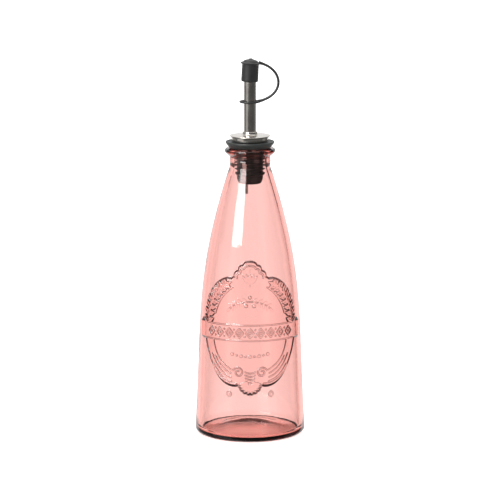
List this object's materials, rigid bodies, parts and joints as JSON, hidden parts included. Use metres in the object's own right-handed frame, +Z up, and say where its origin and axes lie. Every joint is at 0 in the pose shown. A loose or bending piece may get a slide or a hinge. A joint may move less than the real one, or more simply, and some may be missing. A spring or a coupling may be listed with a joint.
{
  "type": "glass oil bottle",
  "caption": "Tapered glass oil bottle with a raised oval cartouche, closed by a rubber stopper with a straight steel pouring spout and a tethered dust cap.",
  "frame": {"origin": "on the bottle's axis, on the surface that it stands on", "axes": "+Z up along the bottle's axis; the cartouche faces -Y; the cap's strap loops out towards +X"},
  "size_m": [0.0702, 0.0702, 0.2402],
  "materials": {
    "pink_glass": "glossy recycled glass, pink",
    "seal_rubber": "satin moulded rubber, dark grey-green",
    "cap_rubber": "matt moulded rubber, black",
    "polished_steel": "polished stainless steel"
  },
  "bodies": {
    "bottle": {"glass_bottle": "pink_glass"},
    "pourer": {"rubber_stopper": "seal_rubber", "steel_disc": "polished_steel", "spout_tube": "polished_steel", "vent_tube": "polished_steel"},
    "tether": {"strap_ring": "cap_rubber", "cap_strap": "cap_rubber"},
    "cap": {"dust_cap": "cap_rubber"}
  },
  "joints": [
    {"name": "stopper_lift", "type": "slide", "parent": "bottle", "child": "pourer", "axis": [0, 0, 1], "range_m": [0, 0.04]},
    {"name": "tether_swivel", "type": "hinge", "parent": "pourer", "child": "tether", "pos_m": [0, 0, 0.2123], "axis": [0, 0, 1], "continuous": true},
    {"name": "cap_pull", "type": "slide", "parent": "tether", "child": "cap", "axis": [0, 0, 1], "range_m": [0, 0.012], "deforming": ["cap_strap"]}
  ]
}
